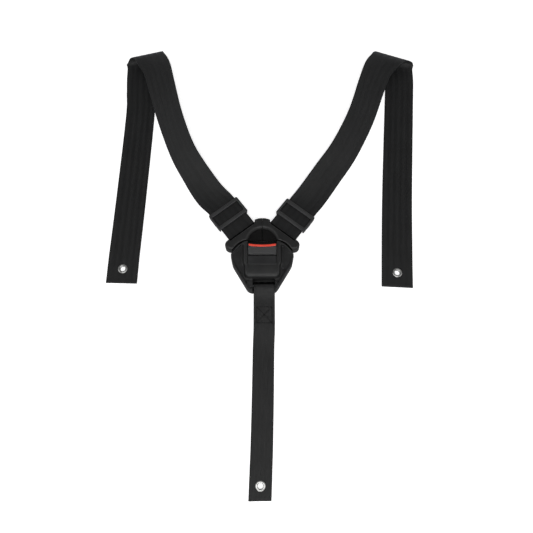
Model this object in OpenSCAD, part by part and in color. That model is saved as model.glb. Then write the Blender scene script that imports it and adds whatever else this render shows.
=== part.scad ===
// Three-point safety harness: two shoulder straps and a crotch strap on a push-button buckle.
// It lies flat on its back. +X is right, +Y runs from the buckle to the shoulder folds, +Z is up.
// The origin is on the buckle's flat back face, at the middle of its widest part.

/* [Webbing] */
// Width of the shoulder webbing
shoulder_w = 38; // [36:0.5:39]
// Width of the crotch webbing
crotch_w = 25.4; // [24:0.2:26]
// Thickness of the webbing
web_t = 1.4; // [1.2:0.1:1.6]

/* [Buckle] */
// Height of the thumb recess floor above the back face
recess_z = 14.5; // [14.4:0.1:15]
// Height of the sunken flanks above the back face
flank_z = 16.5; // [16.4:0.1:17.5]
// Height of the raised middle above the back face
crown_z = 20.5; // [20:0.1:21.5]
// Wall thickness of the moulded covers
wall = 2.2; // [2:0.1:2.4]
// Half width of the release button
button_hw = 17.2; // [16.8:0.1:17.3]

/* [Tongues] */
// Angle of the webbing pins, from the X axis
pin_angle = 37.5; // [37:0.5:38]
// Radius of the webbing pins
pin_r = 2; // [1.8:0.1:2]
// Thickness of the steel latch plates
plate_t = 2; // [1.6:0.1:2.2]

/* [Adjusters] */
// Length of an adjuster across the webbing
glide_w = 42.6; // [42:0.2:44]
// Length of an adjuster along the webbing
glide_l = 23.5; // [23:0.5:25]
// Distance of the left adjuster from its webbing pin
left_glide_at = 34.5; // [33:0.5:36]
// Distance of the right adjuster from its webbing pin
right_glide_at = 32; // [31:0.5:34]

/* [Eyelets] */
// Radius of the hole through each eyelet
eyelet_r = 3; // [2.5:0.1:3]
// Radius of an eyelet's flange
eyelet_flange_r = 5.7; // [5.5:0.1:6]

/* [Hidden] */
$fn = 64;
eps = 0.02;
fit = 0.3;

// Shield outline of the buckle body: three pairs of corner circles
brow_x = 15.5;
brow_y = -2.5;
brow_r = 21.6;
cheek_x = 28;
cheek_y = 0.5;
cheek_r = 9.8;
chin_x = 11.6;
chin_y = -34.7;
chin_r = 8.4;
part_z = 9;

// Raised middle, release button and thumb recess
rail_w = 5.4;
crown_foot_y = -27;
recess_r = 17.6;
recess_y = 16;
button_top_y = 13.3;
button_foot_y = -11;
button_under_z = 17;
button_gap = 0.4;
button_brow = 1.2;
button_face_y = 11;
groove_y = 0.6;
groove_w = 0.8;
groove_z = crown_z - 1.5;
pivot_y = -9.5;
pivot_z = 16;
pivot_r = 1.5;
// The button's upper edge and the strip along it follow an arc, lowest in the middle
flash_r = 100;
flash_w = 2.7;
flash_in = 0.5;
flash_side = 0.8;
flash_deep = 1;
flash_proud = 1.25;

// Latch, ejector and the mouth for the latch plates
plate_z = 10.2;
mouth_hw = 17.6;
window_y = 1.5;
window_l = 3.6;
leaf_z = 8;
leaf_from_y = -21.8;
rivet_x = 4;
rivet_y = -19.4;
leaf_t = 0.6;
leaf_hw = 12;
leaf_to_y = 6;
hook_x = 9.2;
hook_w = 4;
hook_l = 2.2;
rivet_r = 1;
rivet_from_z = 4.2;
ejector_y = -4.1;
ejector_hw = 14.6;
ejector_t = 2.3;
spring_x = 9;
spring_r = 1.9;
spring_wire = 0.5;
spring_from_y = -22;
spring_to_y = -9;
spring_turns = 5;

// Screws that hold the covers together: an upper and a lower pair
upper_screw = [28, 0];
lower_screw = [19, -24.5];
screw_r = 1.25;

// Crotch bar
bar_y = -35;
bar_z = 9.6;
bar_r = 2.5;
bar_fit = 0.04;
bar_hw = 18;
lug_t = 3;

// Tongues
lobe_x = 38.8;
lobe_y = 13.8;
lobe_r = 6.3;
dome_y = 25.3;
dome_r = 23;
pin_z = 12;
pin_reach = 22.4;
pin_x = lobe_x - pin_reach * cos(pin_angle);
pin_y = lobe_y + pin_reach * sin(pin_angle);
pocket_hw = shoulder_w / 2 + 0.8;
tongue_low_z = 4.5;
tongue_top_z = 20;
tongue_gap = 0.8;
seam = 0.15;
jaw_y = 3.6;
mouth_flare = 34;
// Half lap: a tab on the left tongue's back lies behind the right tongue
lap = 3;
lap_top_z = 7.4;

// Webbing routes. Each point is [x, y, z, turn, roll]: turn is the angle of the webbing's width
// from +X, seen from above, and roll is how far its outer edge is raised. x grows outward.
wrap_r = pin_r + web_t / 2 + 0.2;
bar_wrap_r = bar_r + web_t / 2 + 0.2;
lay = web_t / 2 + 0.08;
left_run = [
  [67, 83, 14.5, -38, -12], [84.8, 109, 18, -33, -28], [101.8, 139, 22, -27, -32],
  [118.2, 183, 25, -21, -29], [131.6, 230, 26, -19, -20], [139, 256, 25, -17, -14]];
left_fold = [
  [149.5, 275.5, 21.3, -12, -8], [153.6, 282.6, 17.5, -10, -6], [157.3, 286, 11.5, -10, -4],
  [161.5, 283, 4.5, -9, -2], [164.8, 275, 1.4, -7, 0]];
left_fall = [
  [165.3, 258, 0.8, -3, 0], [164, 235, 0.8, 0, 0], [162.6, 198, 0.8, 1, 0],
  [166.6, 83, 0.8, 1, 0], [169.7, 9, 1.4, 1.5, 0], [170.2, -4, 1.4, 1.5, 0], [171, -30, 1.4, 1.5, 0]];
right_run = [
  [62, 80, 14.5, -37, -8], [82, 108, 18, -33, -18], [103.5, 139, 22, -29, -24],
  [125.5, 183, 25, -22, -24], [142, 230, 25, -19, -18], [151.5, 255, 24, -18, -14]];
right_fold = [
  [163.5, 272.5, 21.3, -17, -8], [170.6, 280.4, 17.2, -15, -6], [176.4, 284, 11, -15, -4],
  [181.5, 280, 4.5, -13, -2], [184.2, 271, 1.4, -9, 0]];
right_fall = [
  [185, 256, 0.8, -5, 0], [183.5, 235, 0.8, -4, 0], [180.4, 198, 0.8, -3, 0],
  [171, 83, 0.8, -3, 0], [165.8, 5, 1.4, -3, 0], [165, -8, 1.4, -3, 0], [163.5, -35, 1.4, -3, 0]];
crotch_run = [
  [2.4, -86, 3.4, 0, 0], [1.6, -112, 0.9, 0, 0], [0.9, -165, 0.8, 0.6, 0],
  [-0.2, -220, 0.9, 1, 0], [-1, -243, 1.4, 1, 0], [-1.2, -250, 1.4, 1, 0],
  [-2.1, -276, 1.4, 1, 0]];
crotch_end_y = -84;
crotch_x = 2.4;
bay_from_x = crotch_x - crotch_w / 2 - 1;
bay_to_x = crotch_x + crotch_w / 2 + 0.3;
eyelet_in = 18;
crotch_eyelet_in = 15.5;
barrel_t = 0.6;
washer_t = 0.6;

// Box of stitching through the doubled crotch webbing
box_w = crotch_w - 7;
box_l = 19;
box_at = [crotch_x, -70, 5.95];
box_tilt = 6.5;
thread_w = 0.6;
thread_t = 0.25;

// Adjuster bars: the outer two lie over the webbing, the middle one under it
glide_bar = 4.6;
glide_middle = 5.4;
glide_side = 1.8;
glide_over = lay + web_t / 2 + 1.35;
glide_under = -lay - web_t / 2 + 0.55;

// ---- Shared helpers ----

module mirrored(side) {
  if (side < 0) mirror([1, 0, 0]) children();
  else children();
}

// Shield outline of the buckle body
module shield(inset = 0) {
  hull() for (side = [-1, 1]) {
    translate([side * brow_x, brow_y]) circle(brow_r - inset);
    translate([side * cheek_x, cheek_y]) circle(cheek_r - inset);
    translate([side * chin_x, chin_y]) circle(chin_r - inset);
  }
}

// Rectangle with round corners, centred on the origin
module round_rect(w, l, r) {
  hull() for (sx = [-1, 1], sy = [-1, 1])
    translate([sx * (w / 2 - r), sy * (l / 2 - r)]) circle(r, $fn = 32);
}

// Puts children in a tongue's own frame: X along its pin, Y along the webbing, origin on the pin
module at_pin(side) {
  mirrored(side) translate([pin_x, pin_y, pin_z]) rotate([0, 0, -pin_angle]) children();
}

// ---- Webbing sweep: rings along a smooth curve through the route ----

function spline(a, b, c, d, t) =
  0.5 * (2 * b + (c - a) * t + (2 * a - 5 * b + 4 * c - d) * t * t
    + (3 * b - a - 3 * c + d) * t * t * t);

route_steps = 5;

function smooth_route(p, steps) = [
  for (i = [1 : len(p) - 3], s = [0 : steps - 1])
    spline(p[i - 1], p[i], p[i + 1], p[i + 2], s / steps),
  p[len(p) - 2]];

function place(p) = [p[0], p[1], p[2]];
function unit(v) = v / norm(v);
function across(p) = [cos(p[3]) * cos(p[4]), sin(p[3]) * cos(p[4]), sin(p[4])];

// Ring of four corners along the webbing's ruling, long enough that the webbing keeps its width
function ring(route, i, w, t) =
  let (last = len(route) - 1,
       tangent = unit(place(route[min(i + 1, last)]) - place(route[max(i - 1, 0)])),
       wide = across(route[i]),
       normal = cross(wide, tangent),
       reach = wide * w / 2 / norm(normal),
       up = unit(normal) * t / 2,
       c = place(route[i]))
  [c - reach - up, c + reach - up, c + reach + up, c - reach + up];

// Webbing between two rings of a route
module ribbon(route, w, t, from, to) {
  n = to - from + 1;
  points = [for (i = [from : to]) each ring(route, i, w, t)];
  walls = [for (i = [0 : n - 2], k = [0 : 3])
    [4 * i + k, 4 * i + (k + 1) % 4, 4 * i + 4 + (k + 1) % 4, 4 * i + 4 + k]];
  split = [for (f = walls) each [[f[0], f[1], f[2]], [f[0], f[2], f[3]]]];
  caps = [[0, 3, 2], [0, 2, 1],
    [4 * n - 4, 4 * n - 3, 4 * n - 2], [4 * n - 4, 4 * n - 2, 4 * n - 1]];
  polyhedron(points = points, faces = [for (f = concat(split, caps)) [f[2], f[1], f[0]]]);
}

// Point of a route at distance d from the pin along the webbing, at height z
function along_pin(d, z) = [
  pin_x + d * sin(pin_angle), pin_y + d * cos(pin_angle), z, -pin_angle, 0];

// Arc around the webbing pin, from under it to over it
function wrap_point(angle) = along_pin(-wrap_r * cos(angle), pin_z + wrap_r * sin(angle));

// Webbing's tail under the adjuster, its wrap round the pin and its way back over the adjuster
function pin_loop(glide_at) = concat(
  [along_pin(glide_at + 21, pin_z - lay + 0.9), along_pin(glide_at + 20, pin_z - lay + 0.9),
   along_pin(glide_at - 8, pin_z - lay + 0.9), along_pin(11, pin_z - lay + 0.6),
   along_pin(5, pin_z - wrap_r + 0.6)],
  [for (a = [-90 : 18 : 90]) wrap_point(a)],
  [along_pin(5, pin_z + wrap_r - 0.6), along_pin(11, pin_z + lay + 1.1),
   along_pin(glide_at - 8, pin_z + lay + 1.0), along_pin(glide_at + 14, pin_z + lay + 1.0)]);

function shoulder_route(glide_at, run, fold, fall) = concat(
  pin_loop(glide_at), run, fold, fall, [fall[len(fall) - 1] * 2 - fall[len(fall) - 2]]);

left_route = smooth_route(
  shoulder_route(left_glide_at, left_run, left_fold, left_fall), route_steps);
right_route = smooth_route(
  shoulder_route(right_glide_at, right_run, right_fold, right_fall), route_steps);

// Ring at the crest of the top fold, where the front run ends and the back run begins
crest_point = 2;
crest_ring = (len(pin_loop(left_glide_at)) + len(left_run) + crest_point - 1) * route_steps;

// Arc around the crotch bar, from under it to over it
function bar_point(angle) = [
  crotch_x, bar_y + bar_wrap_r * cos(angle), bar_z + bar_wrap_r * sin(angle), 0, 0];

crotch_route = smooth_route(concat(
  [[crotch_x, crotch_end_y - 1, 1.7, 0, 0], [crotch_x, crotch_end_y, 1.7, 0, 0],
   [crotch_x, -62, 4.3, 0, 0], [crotch_x, -48, 5.6, 0, 0],
   [crotch_x, bar_y - 5, bar_z - bar_wrap_r + 0.2, 0, 0]],
  [for (a = [-90 : 18 : 90]) bar_point(a)],
  [[crotch_x, bar_y - 5, bar_z + bar_wrap_r - 0.5, 0, 0], [crotch_x, -48, 7.6, 0, 0],
   [crotch_x, -62, 5.9, 0, 0]],
  crotch_run, [crotch_run[6] * 2 - crotch_run[5]]), route_steps);

// ---- Buckle ----

module screw_posts(r, z0, z1) {
  for (x = [-1, 1], at = [upper_screw, lower_screw])
    translate([x * at[0], at[1], z0]) cylinder(r = r, h = z1 - z0);
}

// Lugs that hold the ends of the crotch bar
module bar_lugs(z0, z1) {
  for (x = [-bar_hw - 0.4, bay_to_x])
    translate([x, bar_y - 4, z0]) cube([lug_t, 8.5, z1 - z0]);
  translate([-bar_hw, bar_y - 4, z0]) cube([bar_hw + bay_from_x, 8.5, z1 - z0]);
}

module rear_cover() {
  color("#1c1d1f") difference() {
    union() {
      difference() {
        linear_extrude(part_z) shield();
        translate([0, 0, wall]) linear_extrude(part_z) shield(wall);
      }
      translate([0, 0, wall]) screw_posts(3, 0, part_z - wall);
      // Posts for the latch leaf, the springs' abutment and the ejector's guides
      for (x = [-rivet_x, rivet_x]) translate([x, rivet_y, wall - eps])
        cylinder(r = 2.4, h = leaf_z - wall + eps);
      translate([-12, spring_from_y - 2.4, wall - eps]) cube([24, 2.4, 10.8]);
      for (x = [-1, 1]) translate([x * 15.9 - 0.8, -16, wall - eps]) cube([1.6, 12, 7.6]);
      // Cradles for the crotch bar
      bar_lugs(0, part_z);
    }
    // Bay for the crotch webbing, open at the bottom edge
    translate([bay_from_x, bar_y - 12, wall]) cube([bay_to_x - bay_from_x, 18.2, 20]);
    translate([-20, bar_y, bar_z]) rotate([0, 90, 0]) cylinder(r = bar_r + bar_fit, h = 40);
    translate([0, 0, -1]) screw_posts(screw_r, 0, part_z + 2);
    translate([0, 0, -1]) screw_posts(2.8, 0, 3);
    for (x = [-rivet_x, rivet_x]) translate([x, rivet_y, 4]) cylinder(r = 1.02, h = 6);
  }
}

module front_cover() {
  crown_hw = button_hw + button_gap + rail_w;
  color("#232426") difference() {
    union() {
      translate([0, 0, part_z]) difference() {
        linear_extrude(flank_z - part_z) shield();
        translate([0, 0, -eps]) linear_extrude(flank_z - part_z - wall) shield(wall);
      }
      // Rim round the flanks
      translate([0, 0, flank_z - eps]) linear_extrude(1.5) difference() {
        shield(0.8);
        shield(2.4);
      }
      // Raised middle, hollow below
      intersection() {
        translate([0, 0, part_z]) linear_extrude(crown_z - part_z) shield(0.8);
        difference() {
          translate([-crown_hw, crown_foot_y, flank_z - wall]) cube([2 * crown_hw, 60, 10]);
          translate([-button_hw, crown_foot_y + wall + 2, part_z])
            cube([2 * button_hw, 30, crown_z - wall - part_z]);
        }
      }
      translate([0, 0, part_z]) screw_posts(2.8, 0, flank_z - part_z - 1);
      // Lugs over the crotch bar
      bar_lugs(part_z, flank_z);
    }
    // Opening for the release button, and the thumb recess above it
    translate([0, 0, part_z]) linear_extrude(20) button_plan(button_gap);
    translate([0, recess_y, recess_z]) cylinder(r = recess_r, h = 20);
    // Mouth for the latch plates
    translate([-mouth_hw, 10, part_z - 1]) cube([2 * mouth_hw, 20, plate_z + plate_t + fit - part_z + 1]);
    // Bay for the crotch webbing
    translate([bay_from_x, bar_y - 12, part_z - 1]) cube([bay_to_x - bay_from_x, 19.5, 20]);
    translate([-20, bar_y, bar_z]) rotate([0, 90, 0]) cylinder(r = bar_r + bar_fit, h = 40);
    translate([-button_hw - 2.4, pivot_y, pivot_z]) rotate([0, 90, 0])
      cylinder(r = pivot_r + 0.06, h = 2 * button_hw + 4.8);
    translate([0, 0, part_z - 1]) screw_posts(screw_r, 0, 6);
  }
}

module cover_screws() {
  color("#9a9da0") {
    translate([0, 0, 0.3]) screw_posts(2.6, 0, 1.5);
    translate([0, 0, 1.8 - eps]) screw_posts(screw_r - 0.05, 0, 11.5);
  }
}

module crotch_bar() {
  color("#b4b7ba") translate([-bar_hw, bar_y, bar_z]) rotate([0, 90, 0])
    cylinder(r = bar_r, h = 2 * bar_hw);
}

// Release button seen from the front: its upper edge is an arc, lowest in the middle
module button_plan(gap) {
  difference() {
    translate([-button_hw - gap, button_foot_y - gap])
      square([2 * (button_hw + gap), 40]);
    translate([0, button_top_y + flash_r]) circle(flash_r - gap, $fn = 256);
  }
}

// Spring-steel leaf with two hooks that stand in the latch plates' windows
module latch_leaf() {
  color("#a9adb1") difference() {
    union() {
      translate([-leaf_hw, leaf_from_y, leaf_z]) cube([2 * leaf_hw, leaf_to_y - leaf_from_y, leaf_t]);
      for (x = [-1, 1])
        translate([x * hook_x - hook_w / 2, window_y + (window_l - hook_l) / 2, leaf_z])
          cube([hook_w, hook_l, plate_z + plate_t - 0.4 - leaf_z]);
    }
    for (x = [-rivet_x, rivet_x]) translate([x, rivet_y, leaf_z - 1])
      cylinder(r = rivet_r + 0.05, h = 3);
  }
}

module latch_rivets() {
  shank = leaf_z + leaf_t - rivet_from_z;
  color("#8d9195") for (x = [-rivet_x, rivet_x]) translate([x, rivet_y, rivet_from_z]) {
    cylinder(r = rivet_r, h = shank);
    translate([0, 0, shank]) cylinder(r = 2 * rivet_r, h = 0.8);
  }
}

module ejector() {
  color("#2b2c2e") difference() {
    translate([-ejector_hw, spring_to_y + 0.1, plate_z - 0.1])
      cube([2 * ejector_hw, ejector_y - spring_to_y - 0.1, ejector_t]);
    for (x = [-1, 1]) translate([x * spring_x, spring_to_y - 1, plate_z + 1])
      rotate([-90, 0, 0]) cylinder(r = 0.8, h = 3);
  }
}

// Coil springs behind the ejector
module coil(r, wire, length, turns) {
  per_turn = 12;
  n = turns * per_turn;
  sides = 5;
  points = [for (i = [0 : n], k = [0 : sides - 1])
    let (a = 360 * i / per_turn, b = 360 * k / sides, q = r + wire * cos(b))
      [q * cos(a), length * i / n + wire * sin(b), q * sin(a)]];
  walls = [for (i = [0 : n - 1], k = [0 : sides - 1])
    [i * sides + k, i * sides + (k + 1) % sides,
     (i + 1) * sides + (k + 1) % sides, (i + 1) * sides + k]];
  polyhedron(points = points, faces = concat(
    [for (f = walls) each [[f[0], f[1], f[2]], [f[0], f[2], f[3]]]],
    [[for (k = [sides - 1 : -1 : 0]) k], [for (k = [0 : sides - 1]) n * sides + k]]));
}

module ejector_springs() {
  length = spring_to_y - spring_from_y - 2 * spring_wire - 0.1;
  color("#b9bcbf") for (x = [-1, 1])
    translate([x * spring_x, spring_from_y + spring_wire + 0.05, plate_z + 1])
      coil(spring_r, spring_wire, length, spring_turns);
}

// Button seen from the side, as [y, z]: sloped thumb face, cross groove, then a level face
module button_side() {
  polygon([
    [button_top_y + 4, button_under_z], [button_top_y + 4, crown_z + button_brow],
    [button_face_y, crown_z + button_brow], [groove_y, crown_z - 0.8], [groove_y, groove_z],
    [groove_y - groove_w, groove_z], [groove_y - groove_w, crown_z - 0.6],
    [button_foot_y, crown_z - 0.4], [button_foot_y, pivot_z - 2],
    [pivot_y + 2.5, pivot_z - 2], [pivot_y + 5, button_under_z]]);
}

module release_button() {
  foot_bottom = leaf_z + leaf_t + 0.2;
  color("#2c2e31") union() {
    difference() {
      intersection() {
        translate([button_hw, 0, 0]) rotate([90, 0, -90]) mirror([1, 0, 0])
          linear_extrude(2 * button_hw) button_side();
        linear_extrude(2 * crown_z) button_plan(0);
      }
      button_flash_bed(0);
    }
    // Foot that bears on the latch leaf, between the latch plates
    translate([-3, 3, foot_bottom]) cube([6, 4, button_under_z + 0.5 - foot_bottom]);
    translate([-button_hw - 2, pivot_y, pivot_z]) rotate([0, 90, 0])
      cylinder(r = pivot_r, h = 2 * button_hw + 4);
  }
}

// Strip of even width along the button's upper edge
module button_flash_bed(gap) {
  outer_r = flash_r + flash_in + flash_w;
  intersection() {
    translate([0, button_top_y + flash_r, crown_z - flash_deep]) difference() {
      cylinder(r = outer_r - gap, h = 2 * flash_w, $fn = 256);
      translate([0, 0, -1]) cylinder(r = flash_r + flash_in + gap, h = 3 * flash_w, $fn = 256);
    }
    translate([gap - button_hw + flash_side, 0, crown_z - flash_deep])
      cube([2 * (button_hw - flash_side - gap), button_top_y + 4, flash_deep + flash_proud]);
  }
}

module button_flash() {
  color("#dc3a2b") button_flash_bed(0.02);
}

// ---- Tongues ----

module tongue_outline() {
  difference() {
    hull() {
      translate([lobe_x, lobe_y]) circle(lobe_r);
      translate([0, dome_y]) circle(dome_r);
    }
    hull() for (side = [-1, 1]) {
      translate([side * brow_x, brow_y]) circle(brow_r + tongue_gap);
      translate([side * cheek_x, cheek_y]) circle(cheek_r + tongue_gap);
      translate([side * chin_x, chin_y]) circle(chin_r + tongue_gap);
    }
    translate([seam - 100, -50]) square([100, 150]);
  }
}

// Outline of the half lap, from just inside its own tongue to beyond the seam
module lap_outline(reach) {
  intersection() {
    difference() {
      translate([0, dome_y]) circle(dome_r - 0.6);
      translate([0, brow_y]) square([2 * brow_x, 2 * (brow_r + tongue_gap + 0.4)], center = true);
    }
    translate([-reach, 0]) square([reach + 1, 100]);
  }
}

// Pocket that the webbing loops through, open outward
module webbing_pocket() {
  half = wrap_r + web_t / 2 + 0.35;
  translate([-pocket_hw, 0, -half]) cube([2 * pocket_hw, 60, 2 * half]);
  translate([-pocket_hw, 0, 0]) rotate([0, 90, 0]) cylinder(r = half, h = 2 * pocket_hw);
  // Flare of the mouth, for the webbing's swing
  translate([-pocket_hw, 0, 0]) rotate([mouth_flare, 0, 0]) translate([0, 0, -half + 1])
    cube([2 * pocket_hw, 60, 2 * half - 1]);
}

module tongue_shell(side) {
  color("#26272a") difference() {
    mirrored(side) difference() {
      translate([0, 0, plate_z + plate_t]) linear_extrude(tongue_top_z - plate_z - plate_t)
        tongue_outline();
      translate([0, recess_y, recess_z]) cylinder(r = recess_r, h = 20);
    }
    at_pin(side) {
      webbing_pocket();
      // The upper jaw ends just outside the pin
      translate([-pocket_hw, jaw_y, 0]) cube([2 * pocket_hw, 40, 20]);
      translate([-60, 0, 0]) rotate([0, 90, 0]) cylinder(r = pin_r + 0.02, h = 60 + pin_reach + 1);
    }
  }
}

module tongue_back(side) {
  color("#1f2022") difference() {
    mirrored(side) difference() {
      union() {
        translate([0, 0, tongue_low_z]) linear_extrude(plate_z + plate_t - tongue_low_z)
          tongue_outline();
        if (side < 0)
          translate([0, 0, tongue_low_z]) linear_extrude(lap_top_z - tongue_low_z) lap_outline(lap);
      }
      translate([-1, 0, plate_z]) cube([mouth_hw + 0.1, 34, 10]);
      // The right tongue leaves room for the left one's tab
      if (side > 0) translate([-1, 0, tongue_low_z - 1])
        cube([lap + 1 + fit, 60, lap_top_z + fit - tongue_low_z + 1]);
    }
    at_pin(side) {
      webbing_pocket();
      translate([-60, 0, 0]) rotate([0, 90, 0]) cylinder(r = pin_r + 0.02, h = 60 + pin_reach + 1);
    }
  }
}

// Steel plate with the window that the latch hook stands in
module tongue_plate(side) {
  color("#b0b3b6") mirrored(side) translate([0, 0, plate_z]) linear_extrude(plate_t) difference() {
    union() {
      translate([0.4, 9]) square([16, 24]);
      translate([4.2, -4]) square([12.2, 14]);
    }
    translate([6.7, window_y]) square([5, window_l]);
    // Corner cleared for the webbing pocket
    translate([pin_x, pin_y]) rotate(-pin_angle) translate([-40, -5.2]) square([80, 40]);
  }
}

module webbing_pin(side) {
  color("#b4b7ba") at_pin(side) translate([-pin_reach + 0.4, 0, 0]) rotate([0, 90, 0])
    cylinder(r = pin_r, h = 2 * pin_reach - 0.4);
}

// ---- Straps ----

module eyelet_cut(p, r) {
  translate([p[0], p[1], -1]) cylinder(r = r, h = 6);
}

// Centre of the eyelet, in from the end of a route
function eyelet_spot(fall, inset) =
  let (a = place(fall[len(fall) - 2]), b = place(fall[len(fall) - 1])) b + unit(a - b) * inset;

left_spot = eyelet_spot(left_fall, eyelet_in);
right_spot = eyelet_spot(right_fall, eyelet_in);
crotch_spot = eyelet_spot(crotch_run, crotch_eyelet_in);

// Front run: from the tail, round the pin and up to the crest of the fold
module front_run(side, route) {
  color("#242528") mirrored(side) ribbon(route, shoulder_w, web_t, 0, crest_ring);
}

// Back run: from the crest of the fold down to the end with the eyelet
module back_run(side, route, spot) {
  color("#242528") mirrored(side) difference() {
    ribbon(route, shoulder_w, web_t, crest_ring, len(route) - 1);
    eyelet_cut(spot, eyelet_r + barrel_t + 0.15);
  }
}

module crotch_strap() {
  color("#242528") difference() {
    ribbon(crotch_route, crotch_w, web_t, 0, len(crotch_route) - 1);
    eyelet_cut(crotch_spot, eyelet_r + barrel_t + 0.15);
  }
}

// Rows of thread bars, laid on the webbing
module thread(length) {
  translate([-length / 2, -thread_w / 2, 0]) cube([length, thread_w, thread_t]);
}

// Box with a cross, through the doubled webbing
module crotch_stitching() {
  slope = atan2(box_l, box_w);
  color("#17181a") translate(box_at) rotate([box_tilt, 0, 0]) {
    for (y = [-1, 1]) translate([0, y * box_l / 2, 0]) thread(box_w + thread_w);
    for (x = [-1, 1]) translate([x * box_w / 2, 0, 0]) rotate(90) thread(box_l);
    for (a = [-1, 1]) rotate(a * slope) thread(norm([box_w, box_l]) - 1);
  }
}

// Plastic three-bar slide: the outer bars lie over the webbing, the middle bar under it
module adjuster(side, at) {
  color("#2d2f32") at_pin(side) translate([0, at, 0]) {
    for (x = [-1, 1]) translate([x * (glide_w - glide_side) / 2, 0, -2.6]) linear_extrude(7.4)
      round_rect(glide_side, glide_l, 0.8);
    for (y = [-1, 1]) translate([0, y * (glide_l - glide_bar) / 2, glide_over]) linear_extrude(2.4)
      round_rect(glide_w, glide_bar, 1);
    translate([0, 0, glide_under - 2.2]) linear_extrude(2.2) round_rect(glide_w, glide_middle, 1);
  }
}

// Rolled eyelet on top of the webbing, with its barrel through the hole
module eyelet(spot, side) {
  half = web_t / 2;
  flange = eyelet_flange_r - eyelet_r;
  color("#d7d9db") mirrored(side) translate([spot[0], spot[1], spot[2]])
    rotate_extrude() translate([eyelet_r, 0]) polygon([
      [0, -half - washer_t], [barrel_t, -half - washer_t], [barrel_t, half], [flange, half],
      [flange, half + 0.25], [flange - 1, half + 0.9], [0.7, half + 0.9], [0, half + 0.5]]);
}

// Flat washer that the eyelet's barrel is spread over, behind the webbing
module eyelet_washer(spot, side) {
  color("#c9cbcd") mirrored(side) translate([spot[0], spot[1], spot[2] - web_t / 2 - washer_t])
    rotate_extrude() translate([eyelet_r + barrel_t, 0])
      square([eyelet_flange_r - eyelet_r - barrel_t - 0.3, washer_t]);
}

module left_tongue_shell() tongue_shell(-1);
module left_tongue_back() tongue_back(-1);
module left_tongue_plate() tongue_plate(-1);
module left_webbing_pin() webbing_pin(-1);
module right_tongue_shell() tongue_shell(1);
module right_tongue_back() tongue_back(1);
module right_tongue_plate() tongue_plate(1);
module right_webbing_pin() webbing_pin(1);
module left_shoulder_strap() front_run(-1, left_route);
module right_shoulder_strap() front_run(1, right_route);
module left_strap_back_run() back_run(-1, left_route, left_spot);
module right_strap_back_run() back_run(1, right_route, right_spot);
module left_adjuster() adjuster(-1, left_glide_at);
module right_adjuster() adjuster(1, right_glide_at);
module left_strap_eyelet() eyelet(left_spot, -1);
module right_strap_eyelet() eyelet(right_spot, 1);
module crotch_eyelet() eyelet(crotch_spot, 1);
module left_eyelet_washer() eyelet_washer(left_spot, -1);
module right_eyelet_washer() eyelet_washer(right_spot, 1);
module crotch_eyelet_washer() eyelet_washer(crotch_spot, 1);

rear_cover();
front_cover();
cover_screws();
crotch_bar();
latch_leaf();
latch_rivets();
ejector();
ejector_springs();
release_button();
button_flash();
left_tongue_shell();
left_tongue_back();
left_tongue_plate();
left_webbing_pin();
right_tongue_shell();
right_tongue_back();
right_tongue_plate();
right_webbing_pin();
left_shoulder_strap();
left_strap_back_run();
left_adjuster();
left_strap_eyelet();
left_eyelet_washer();
right_shoulder_strap();
right_strap_back_run();
right_adjuster();
right_strap_eyelet();
right_eyelet_washer();
crotch_strap();
crotch_stitching();
crotch_eyelet();
crotch_eyelet_washer();
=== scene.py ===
import math
import bmesh
import bpy
import numpy as np
from mathutils import Matrix, Vector


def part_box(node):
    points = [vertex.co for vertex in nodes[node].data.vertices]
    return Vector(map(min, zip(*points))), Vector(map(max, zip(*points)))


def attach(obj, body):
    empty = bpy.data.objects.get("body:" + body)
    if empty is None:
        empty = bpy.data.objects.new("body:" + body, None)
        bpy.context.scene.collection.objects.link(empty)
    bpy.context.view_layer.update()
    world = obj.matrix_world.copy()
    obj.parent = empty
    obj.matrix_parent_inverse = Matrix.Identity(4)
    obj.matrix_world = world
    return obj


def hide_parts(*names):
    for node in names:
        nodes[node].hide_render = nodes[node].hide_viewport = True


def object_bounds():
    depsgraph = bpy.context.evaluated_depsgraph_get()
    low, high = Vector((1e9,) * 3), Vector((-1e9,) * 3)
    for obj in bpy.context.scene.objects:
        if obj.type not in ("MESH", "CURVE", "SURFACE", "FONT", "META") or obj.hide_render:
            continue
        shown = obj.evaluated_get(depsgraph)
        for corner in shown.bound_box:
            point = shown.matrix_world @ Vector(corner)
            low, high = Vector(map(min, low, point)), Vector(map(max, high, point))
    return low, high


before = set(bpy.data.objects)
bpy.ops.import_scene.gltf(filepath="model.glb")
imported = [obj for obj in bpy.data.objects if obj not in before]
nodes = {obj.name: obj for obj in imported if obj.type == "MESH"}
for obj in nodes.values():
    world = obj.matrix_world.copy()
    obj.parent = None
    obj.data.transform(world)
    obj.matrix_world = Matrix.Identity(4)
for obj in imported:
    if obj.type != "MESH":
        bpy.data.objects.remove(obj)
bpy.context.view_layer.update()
MM = 0.001

# ---------------------------------------------------------------- sizes, in millimetres, as in the CAD

shoulder_w, crotch_w, web_t = 38.0, 25.4, 1.4
recess_z, flank_z, crown_z, part_z, wall = 14.5, 16.5, 20.5, 9.0, 2.2
button_hw, button_gap, rail_w = 17.2, 0.4, 5.4
brow, cheek, chin = (15.5, -2.5, 21.6), (28.0, 0.5, 9.8), (11.6, -34.7, 8.4)
crown_foot_y, recess_r, recess_y = -27.0, 17.6, 16.0
button_top_y, button_foot_y, button_under_z = 13.3, -11.0, 17.0
pivot_y, pivot_z, pivot_r = -9.5, 16.0, 1.5
plate_z, plate_t, fit, mouth_hw = 10.2, 2.0, 0.3, 17.6
bar_y, bar_z, bar_r = -35.0, 9.6, 2.5
crotch_x, bar_hw = 2.4, 18.0
bay_from_x, bay_to_x = crotch_x - crotch_w / 2 - 1, crotch_x + crotch_w / 2 + 0.3
upper_screw, lower_screw, screw_r = (28.0, 0.0), (19.0, -24.5), 1.25
rivet_x, rivet_y = 4.0, -19.4
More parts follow.
